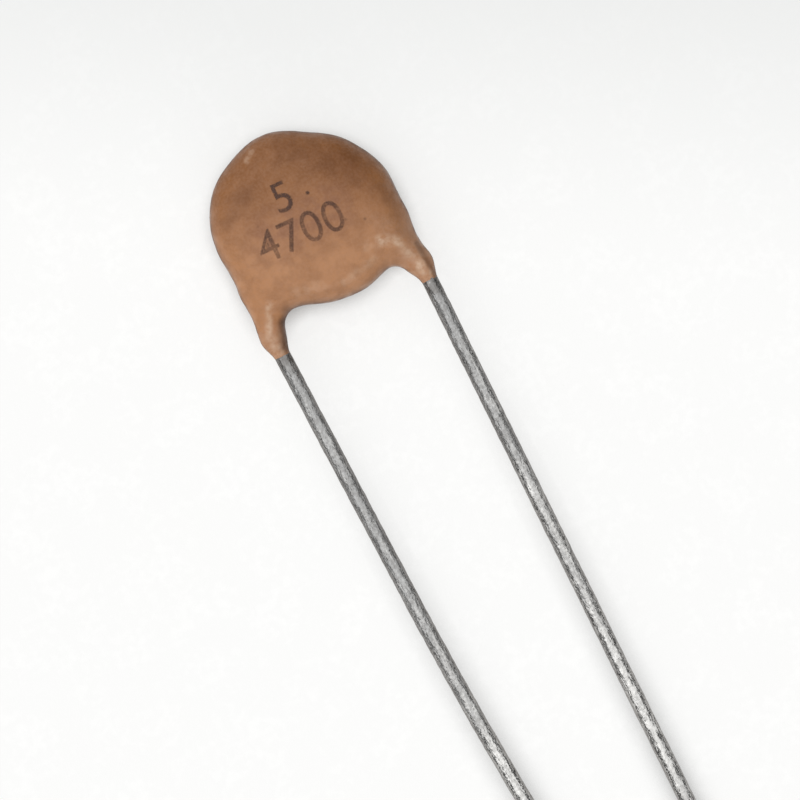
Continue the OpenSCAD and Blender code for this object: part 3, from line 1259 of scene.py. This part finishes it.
@dataclass
class Lead:
    """One tinned wire: the solid's own, ringed along its free length and lumpy with tin.

    Attributes:
        side: which lead.
        coat_end: where the coat ends along Y, in metres.
        flat: edges that turn less than this go before the rings are cut, in degrees.
        ring_step: the distance between its rings, in metres.
        swells: the tin's long lumps.
        grains: the tin's small lumps.
        end_fade: how far from the coat and from the tip the lumps fade out, in metres.
        ground_fade: how far above the ground they fade out, in metres.
        chamfer: how far up from the tip its cut edge is broken, in metres.
        cut_depth: points nearer the tip than this are on the cut face, in metres.
        cut_share: the cut face's width, as a share of the wire's.
        crease: edges sharper than this stay sharp, in degrees.
    """

    TINNED = "tinned"

    side: Side
    coat_end: float
    flat: float = 0.5
    ring_step: float = 0.08 * MM
    swells: Lumps = Lumps(TINNED, 0.4 * MM, 0.024 * MM, 0.5)
    grains: Lumps = Lumps(TINNED, 0.13 * MM, 0.018 * MM, 0.45)
    end_fade: float = 0.2 * MM
    ground_fade: float = 0.1 * MM
    chamfer: float = 0.03 * MM
    cut_depth: float = 0.006 * MM
    cut_share: float = 0.86
    crease: float = 35.0

    def build(self, finish: TinnedFinish) -> bpy.types.Object:
        """Builds and dresses the lead.

        Args:
            finish: its finish.

        Returns:
            The lead.
        """
        wire = copy_of_node(self.side.value, f"tinned_{self.side.value}")
        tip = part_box(self.side.value)[0].y
        self._ring(wire, tip)
        self._break_cut_end(wire, tip)
        self._name_free_length(wire, tip)
        for lumps in (self.swells, self.grains):
            lumps.press_into(wire)
        smooth_by_angle(wire, self.crease)
        wire.data.materials.append(finish.material(f"tin_of_{self.side.value}"))
        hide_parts(self.side.value)
        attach(wire, BODY)
        return wire

    def _ring(self, wire: bpy.types.Object, tip: float) -> None:
        """Cuts rings across the free length, for the lumps to move.

        Args:
            wire: the lead.
            tip: the lowest Y of the lead, in metres.
        """
        rings = int((self.coat_end - tip) / self.ring_step)
        levels = [tip + self.chamfer + count * self.ring_step for count in range(rings)]
        with editing(wire):
            bpy.ops.mesh.select_all(action="SELECT")
            bpy.ops.mesh.dissolve_limited(angle_limit=math.radians(self.flat))
            for level in levels:
                cut_across(Vector((0, level, 0)), Vector((0, 1, 0)))

    def _break_cut_end(self, wire: bpy.types.Object, tip: float) -> None:
        """Draws the cut face in, so that the edge round it is broken.

        Args:
            wire: the lead.
            tip: the lowest Y of the lead, in metres.
        """
        with editing(wire) as mesh:
            limit = tip + self.cut_depth
            end = [v.co.copy() for v in mesh.verts if v.co.y < limit]
            middle = sum(end, Vector()) / len(end)
            select_faces(wire, lambda face: all(v.co.y < limit for v in face.verts))
            bpy.ops.transform.resize(value=(self.cut_share,) * 3, center_override=middle)

    def _name_free_length(self, wire: bpy.types.Object, tip: float) -> None:
        """Puts the points outside the coat in a vertex group, less near its ends and the ground.

        Args:
            wire: the lead.
            tip: the lowest Y of the lead, in metres.
        """
        tinned = wire.vertex_groups.new(name=self.TINNED)
        for vertex in wire.data.vertices:
            inwards = min(self.coat_end - vertex.co.y, vertex.co.y - tip) / self.end_fade
            share = min(inwards, vertex.co.z / self.ground_fade, 1.0)
            if share > 0:
                tinned.add([vertex.index], share, "REPLACE")


@dataclass
class Figures:
    """One line of printed figures.

    Attributes:
        text: the figures.
        centre: its middle from the disc's middle, in metres.
        height: the figures' height, in metres.
        pitch: the distance from one figure to the next, as a share of the font's own.
    """

    text: str
    centre: tuple[float, float]
    height: float
    pitch: float = 1.0


@dataclass
class PrintedMark:
    """The rubber-stamped mark on the front: plain figures and a dot, in a film of ink.

    Attributes:
        coat: the coat that it lies on.
        centre: the disc's middle, in metres.
        lines: its lines of figures.
        dot: the dot's place from the disc's middle and its radius, in metres.
        dot_points: how many points go round the dot.
        curve_steps: how many steps a curve of the figures has.
        turn: how far it is turned, in degrees.
        spread: how much its strokes are widened, as a share of the height.
        mesh_step: the size of the squares it is cut into, to lie close, in metres.
        lift: its lower side's distance from the coat, in metres.
        film: its thickness, in metres.
        hover: how far above the coat it is set, before it drops on it, in metres.
        crease: edges sharper than this stay sharp, in degrees.
    """

    DEPTH = "depth_in_stroke"

    coat: bpy.types.Object
    centre: Vector
    lines: tuple[Figures, ...] = (
        Figures("5", (-0.32 * MM, 0.74 * MM), 0.95 * MM),
        Figures("4700", (-0.3 * MM, -0.42 * MM), 1.0 * MM, 1.02),
    )
    dot: tuple[float, float, float] = (0.42 * MM, 0.5 * MM, 0.08 * MM)
    dot_points: int = 20
    curve_steps: int = 8
    turn: float = -2.5
    spread: float = 0.012
    mesh_step: float = 0.03 * MM
    lift: float = 0.002 * MM
    film: float = 0.004 * MM
    hover: float = 0.2 * MM
    crease: float = 40.0

    def build(self, finish: InkFinish) -> bpy.types.Object:
        """Builds and dresses the mark.

        Args:
            finish: its finish.

        Returns:
            The mark.
        """
        parts = [self._figures(line) for line in self.lines]
        parts.append(self._dot())
        mark = self._joined(parts)
        self._cut_into_squares(mark)
        self._measure_depth(mark)
        self._lay_on_coat(mark)
        smooth_by_angle(mark, self.crease)
        mark.data.materials.clear()
        mark.data.materials.append(finish.material())
        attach(mark, BODY)
        return mark

    def _place(self, across: float, up: float) -> Vector:
        """Finds the place just over the coat for a part of the mark.

        Args:
            across: how far right of the disc's middle it is, in metres.
            up: how far up from there it is, in metres.

        Returns:
            The place.
        """
        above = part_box("resin_coat")[1].z + self.hover
        return Vector((self.centre.x + across, self.centre.y + up, above))

    def _figures(self, line: Figures) -> bpy.types.Object:
        """Sets one line of figures and makes it a mesh, over its place.

        Args:
            line: the line.

        Returns:
            The line's mesh.
        """
        place = self._place(*line.centre)
        bpy.ops.object.text_add(location=place, rotation=(0, 0, math.radians(self.turn)))
        figures = bpy.context.object
        figures.data.body = line.text
        figures.data.align_x = "CENTER"
        figures.data.align_y = "CENTER"
        figures.data.space_character = line.pitch
        figures.data.offset = self.spread
        figures.data.resolution_u = self.curve_steps
        bpy.context.view_layer.update()
        figures.scale = (line.height / figures.dimensions.y,) * 3
        pick_alone(figures)
        bpy.ops.object.convert(target="MESH")
        bpy.ops.object.origin_set(type="ORIGIN_GEOMETRY", center="BOUNDS")
        figures = bpy.context.object
        figures.location = place
        return figures

    def _dot(self) -> bpy.types.Object:
        """Makes the dot, over its place.

        Returns:
            The dot's mesh.
        """
        across, up, radius = self.dot
        bpy.ops.mesh.primitive_circle_add(
            vertices=self.dot_points,
            radius=radius,
            fill_type="NGON",
            location=self._place(across, up),
        )
        return bpy.context.object

    def _joined(self, parts: list[bpy.types.Object]) -> bpy.types.Object:
        """Joins flat parts into one piece at the origin.

        Args:
            parts: the parts.

        Returns:
            The piece.
        """
        pick_alone(parts[0])
        for part in parts:
            part.select_set(True)
        bpy.ops.object.join()
        mark = bpy.context.object
        mark.name = mark.data.name = "printed_mark"
        bpy.ops.object.transform_apply(location=True, rotation=True, scale=True)
        return mark

    def _cut_into_squares(self, mark: bpy.types.Object) -> None:
        """Cuts the flat figures by a square grid, so that they can bend.

        Args:
            mark: the mark.
        """
        low = [min(v.co[axis] for v in mark.data.vertices) for axis in (0, 1)]
        high = [max(v.co[axis] for v in mark.data.vertices) for axis in (0, 1)]
        with editing(mark):
            for axis, normal in enumerate((Vector((1, 0, 0)), Vector((0, 1, 0)))):
                for count in range(1, int((high[axis] - low[axis]) / self.mesh_step)):
                    cut_across(normal * (low[axis] + count * self.mesh_step), normal)
            bpy.ops.mesh.select_all(action="SELECT")
            bpy.ops.mesh.remove_doubles(threshold=SEAM)
            bpy.ops.mesh.quads_convert_to_tris()

    def _measure_depth(self, mark: bpy.types.Object) -> None:
        """Keeps on each point how far inside its stroke it lies, in millimetres.

        Args:
            mark: the mark, still flat.
        """
        uses = Counter(edge for face in mark.data.polygons for edge in face.edge_keys)
        rim = {point for edge, count in uses.items() if count == 1 for point in edge}
        outline = KDTree(len(rim))
        for point in rim:
            outline.insert(mark.data.vertices[point].co, point)
        outline.balance()
        depth = mark.data.attributes.new(self.DEPTH, "FLOAT", "POINT")
        inward = [outline.find(v.co)[2] * PER_MM for v in mark.data.vertices]
        depth.data.foreach_set("value", inward)

    def _lay_on_coat(self, mark: bpy.types.Object) -> None:
        """Drops the mark on the coat and gives it the ink's thickness.

        Args:
            mark: the mark.
        """
        drop = mark.modifiers.new("drop", "SHRINKWRAP")
        drop.target = self.coat
        drop.wrap_method = "PROJECT"
        drop.use_project_z = True
        drop.use_negative_direction = True
        drop.use_positive_direction = False
        drop.offset = self.lift
        thicken = mark.modifiers.new("thicken", "SOLIDIFY")
        thicken.thickness = self.film
        thicken.offset = 1.0
        pick_alone(mark)
        bpy.ops.object.modifier_apply(modifier=drop.name)
        bpy.ops.object.modifier_apply(modifier=thicken.name)


@dataclass
class Core:
    """What the coat hides: the ceramic, its silver and the solder, which keep their solids.

    Attributes:
        centre: the disc's middle, in metres.
    """

    centre: Vector

    def dress(self) -> list[bpy.types.Object]:
        """Gives each hidden solid its finish.

        Returns:
            The solids.
        """
        ceramic = CeramicFinish(self.centre).material()
        silver = SilverFinish(self.centre).material()
        solder = SolderFinish(self.centre).material()
        finishes = {
            "ceramic_disc": ceramic,
            "front_electrode": silver,
            "rear_electrode": silver,
            "front_solder": solder,
            "rear_solder": solder,
        }
        for node, finish in finishes.items():
            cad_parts[node].material_slots[0].material = finish
        return [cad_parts[node] for node in finishes]


# Studio -------------------------------------------------------------------------------------------


@dataclass(frozen=True)
class SoftLamp:
    """A rectangular lamp that faces the part.

    Attributes:
        name: its name.
        place: where it hangs, in millimetres.
        size: its sides, in millimetres.
        energy: its power, in watts.
    """

    name: str
    place: tuple[float, float, float]
    size: tuple[float, float]
    energy: float

    def hang(self, target: Vector) -> None:
        """Hangs the lamp.

        Args:
            target: the point that it faces, in metres.
        """
        lamp = bpy.data.lights.new(self.name, "AREA")
        lamp.shape = "RECTANGLE"
        lamp.size = self.size[0] * MM
        lamp.size_y = self.size[1] * MM
        lamp.energy = self.energy
        holder = bpy.data.objects.new(self.name, lamp)
        holder.location = Vector(self.place) * MM
        holder.rotation_euler = (target - holder.location).to_track_quat("-Z", "Y").to_euler()
        bpy.context.scene.collection.objects.link(holder)


@dataclass
class Studio:
    """The white floor, the soft lamps, the dark cards that the wires mirror, and the camera.

    Attributes:
        floor_size: the floor's side, in metres.
        looks_at: the point in the middle of the picture, in metres.
        picture_width: what the picture takes in at that point, in metres.
        lens: the lens, in millimetres.
        turn: how far the camera is turned about its own line of sight, in degrees.
        clip: the nearest and the farthest that it sees, as shares of its distance.
        lamps: the lamps.
        card_size: the cards' sides, in metres.
        card_away: how far to each side a card stands, in metres.
        card_middle: how far along Y, and how high, its middle is, in metres.
        card_paint: the cards' colour.
        sky: the room's brightness at its dark and at its bright end.
        sky_way: the direction of its bright end.
        sky_span: from where to where along that it brightens.
    """

    floor_size: float = 1.2
    looks_at: tuple[float, float, float] = (0.034 * MM, 6.563 * MM, 1.2 * MM)
    picture_width: float = 24.1 * MM
    lens: float = 150.0
    turn: float = -27.35
    clip: tuple[float, float] = (0.01, 100.0)
    lamps: tuple[SoftLamp, ...] = (
        SoftLamp("soft_lamp", (-60.0, 55.0, 120.0), (200.0, 150.0), 0.03),
        SoftLamp("low_lamp", (-30.0, -125.0, 60.0), (70.0, 35.0), 0.03),
    )
    card_size: tuple[float, float] = (50 * MM, 200 * MM)
    card_away: float = 60 * MM
    card_middle: tuple[float, float] = (6 * MM, 25 * MM)
    card_paint: Colour = (0.02, 0.02, 0.02, 1.0)
    sky: tuple[float, float] = (0.05, 1.25)
    sky_way: tuple[float, float, float] = (-0.3, 0.1, 0.95)
    sky_span: tuple[float, float] = (0.05, 1.0)

    def build(self) -> None:
        """Sets the studio up round the part."""
        bpy.context.scene.view_settings.view_transform = "Standard"
        self._floor()
        for lamp in self.lamps:
            lamp.hang(Vector(self.looks_at))
        self._cards()
        self._sky()
        self._camera()

    def _floor(self) -> None:
        """Lays the floor."""
        bpy.ops.mesh.primitive_plane_add(size=self.floor_size)
        floor = bpy.context.object
        floor.name = "floor"
        floor.data.materials.append(PaperFinish().material())

    def _cards(self) -> None:
        """Stands a dark card along each side, that only gloss can see."""
        paint = bpy.data.materials.new("black_card")
        paint.use_nodes = True
        paint.node_tree.nodes["Principled BSDF"].inputs["Base Color"].default_value = self.card_paint
        for name, side in (("left_card", -1), ("right_card", 1)):
            bpy.ops.mesh.primitive_plane_add(
                size=1,
                location=(side * self.card_away, *self.card_middle),
                rotation=(0, -side * math.radians(90), 0),
            )
            card = bpy.context.object
            card.name = name
            card.scale = (*self.card_size, 1)
            card.data.materials.append(paint)
            card.visible_camera = False
            card.visible_diffuse = False
            card.visible_shadow = False
            card.visible_transmission = False

    def _sky(self) -> None:
        """Lights the world softly, and shows white behind the part."""
        world = bpy.data.worlds.new("soft_room")
        world.use_nodes = True
        bpy.context.scene.world = world
        sheet = Wiring(world.node_tree)
        room = world.node_tree.nodes["Background"]
        height = sheet.along(sheet.add("TexCoord").outputs["Generated"], self.sky_way)
        sheet.feed(room.inputs["Color"], sheet.ramp(height, self.sky_span, self.sky))
        backdrop = sheet.add("Background")
        sheet.feed(backdrop.inputs["Color"], (1.0, 1.0, 1.0, 1.0))
        both = sheet.add("MixShader")
        sheet.feed(both.inputs[0], sheet.looked_at())
        sheet.feed(both.inputs[1], room.outputs[0])
        sheet.feed(both.inputs[2], backdrop.outputs[0])
        sheet.feed(world.node_tree.nodes["World Output"].inputs["Surface"], both.outputs[0])

    def _camera(self) -> None:
        """Places the camera straight above, turned about its own line of sight."""
        eye = bpy.data.cameras.new("camera")
        eye.lens = self.lens
        distance = self.picture_width * self.lens / eye.sensor_width
        eye.clip_start, eye.clip_end = (distance * share for share in self.clip)
        camera = bpy.data.objects.new("camera", eye)
        camera.location = Vector(self.looks_at) + Vector((0, 0, distance))
        camera.rotation_euler = (0, 0, math.radians(self.turn))
        bpy.context.scene.collection.objects.link(camera)
        bpy.context.scene.camera = camera


def main() -> None:
    """Builds the studio and every piece, in order."""
    logging.basicConfig(level=logging.INFO, format="%(name)s: %(message)s")
    low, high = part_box("ceramic_disc")
    centre = (low + high) / 2
    coat_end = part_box("resin_coat")[0].y
    end = (centre.y - coat_end) * PER_MM
    tins = {
        Side.RIGHT: TinnedFinish(centre, end, brightening_from=3.0, brightest_from=17.0),
        Side.LEFT: TinnedFinish(centre, end, brightening_from=7.0, brightest_from=17.5),
    }

    Studio().build()
    coat = DipCoat().build(ResinFinish(centre))
    report(coat)
    for side, tin in tins.items():
        report(Lead(side, coat_end).build(tin))
    report(PrintedMark(coat, centre).build(InkFinish(centre)))
    for solid in Core(centre).dress():
        report(solid)


if __name__ == "__main__":
    main()
